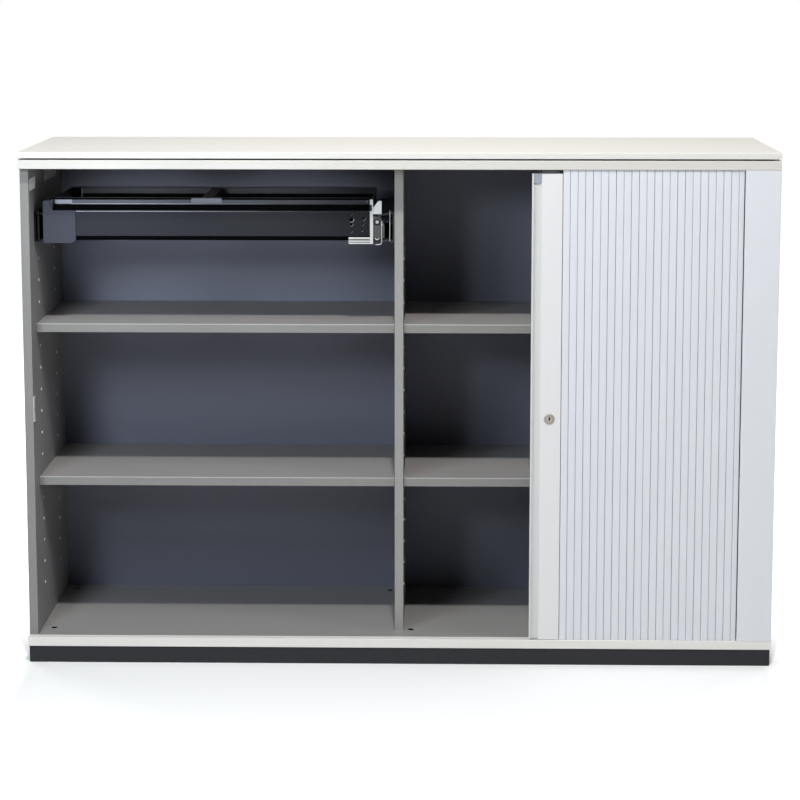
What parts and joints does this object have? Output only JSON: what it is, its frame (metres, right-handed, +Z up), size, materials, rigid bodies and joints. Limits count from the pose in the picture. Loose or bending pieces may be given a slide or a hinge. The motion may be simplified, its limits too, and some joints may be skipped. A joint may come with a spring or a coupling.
{
  "type": "tambour door cabinet",
  "caption": "Wide office side cabinet with a sideways tambour door, a divider, adjustable shelves and a pull-out frame for hanging files.",
  "frame": {"origin": "on the floor, under the middle of the cabinet", "axes": "+X to the right seen from the front, +Y to the back, +Z up"},
  "size_m": [1.6, 0.44, 1.104],
  "materials": {
    "warm_white_board": "satin melamine",
    "white_board": "satin melamine",
    "grey_board": "satin melamine",
    "slate_back": "matt",
    "black_board": "matt",
    "anthracite_plinth": "satin melamine",
    "silver_tambour": "fine satin",
    "grey_plastic": "satin",
    "white_plastic": "satin",
    "black_plastic": "satin",
    "black_steel": "satin powder coat",
    "zinc_steel": "bright zinc",
    "lock_chrome": "polished"
  },
  "bodies": {
    "carcass": {"bottom_board": "white_board", "bottom_track": "grey_plastic", "carcass_top": "white_board", "corner_post": "grey_board", "divider": "grey_board", "inner_back_left": "slate_back", "inner_back_right": "slate_back", "left_side": "grey_board", "left_slide_outer": "zinc_steel", "outer_back": "grey_board", "plinth_back": "anthracite_plinth", "plinth_front": "anthracite_plinth", "plinth_left": "anthracite_plinth", "plinth_right": "anthracite_plinth", "pocket_wall": "grey_board", "right_side": "grey_board", "right_slide_outer": "zinc_steel", "right_stile": "silver_tambour", "shadow_gap_board": "black_board", "shelf_left_lower": "grey_board", "shelf_left_upper": "grey_board", "shelf_right_lower": "grey_board", "shelf_right_upper": "grey_board", "strike_plate": "zinc_steel", "tambour_back": "silver_tambour", "tambour_front_bend": "silver_tambour", "tambour_rear_bend": "silver_tambour", "tambour_side": "silver_tambour", "top_bracket": "grey_plastic", "top_plate": "warm_white_board", "top_track": "grey_plastic"},
    "door": {"leading_strip": "silver_tambour", "grip_profile": "silver_tambour", "top_glide": "grey_plastic", "bottom_glide": "grey_plastic", "lock_barrel": "lock_chrome", "tambour_front": "silver_tambour"},
    "lock_cylinder": {"lock_plug": "lock_chrome", "lock_cam": "zinc_steel"},
    "file_frame": {"frame_front_bar": "black_steel", "frame_front_rail": "black_steel", "frame_left_arm": "black_steel", "frame_left_cover": "grey_plastic", "frame_rear_rail": "black_steel", "frame_right_angle": "zinc_steel", "frame_right_arm": "black_steel", "frame_right_clamp": "white_plastic", "frame_strut": "black_steel", "frame_strut_clip": "grey_plastic", "left_slide_inner": "zinc_steel", "right_slide_inner": "zinc_steel", "slide_end_plate": "black_steel"},
    "middle_slides": {"left_slide_middle": "zinc_steel", "right_slide_middle": "zinc_steel"},
    "foot_back_left": {"foot_back_left": "black_plastic"},
    "foot_back_middle": {"foot_back_middle": "black_plastic"},
    "foot_back_right": {"foot_back_right": "black_plastic"},
    "foot_front_left": {"foot_front_left": "black_plastic"},
    "foot_front_middle": {"foot_front_middle": "black_plastic"},
    "foot_front_right": {"foot_front_right": "black_plastic"}
  },
  "joints": [
    {"name": "door_slide", "type": "slide", "parent": "carcass", "child": "door", "axis": [1, 0, 0], "range_m": [-1.078, 0.378], "deforming": ["tambour_front"]},
    {"name": "lock_turn", "type": "hinge", "parent": "door", "child": "lock_cylinder", "pos_m": [0.32, -0.205, 0.538], "axis": [0, 1, 0], "range_deg": [0, 90]},
    {"name": "frame_pull", "type": "slide", "parent": "carcass", "child": "file_frame", "axis": [0, -1, 0], "range_m": [0, 0.3]},
    {"name": "middle_slide_pull", "type": "slide", "parent": "carcass", "child": "middle_slides", "axis": [0, -1, 0], "range_m": [0, 0.15]},
    {"name": "foot_back_left_screw", "type": "slide", "parent": "carcass", "child": "foot_back_left", "axis": [0, 0, -1], "range_m": [0, 0.01]},
    {"name": "foot_back_middle_screw", "type": "slide", "parent": "carcass", "child": "foot_back_middle", "axis": [0, 0, -1], "range_m": [0, 0.01]},
    {"name": "foot_back_right_screw", "type": "slide", "parent": "carcass", "child": "foot_back_right", "axis": [0, 0, -1], "range_m": [0, 0.01]},
    {"name": "foot_front_left_screw", "type": "slide", "parent": "carcass", "child": "foot_front_left", "axis": [0, 0, -1], "range_m": [0, 0.01]},
    {"name": "foot_front_middle_screw", "type": "slide", "parent": "carcass", "child": "foot_front_middle", "axis": [0, 0, -1], "range_m": [0, 0.01]},
    {"name": "foot_front_right_screw", "type": "slide", "parent": "carcass", "child": "foot_front_right", "axis": [0, 0, -1], "range_m": [0, 0.01]}
  ],
  "couplings": [
    {"joint": "middle_slide_pull", "follows": "frame_pull", "ratio": 0.5}
  ]
}
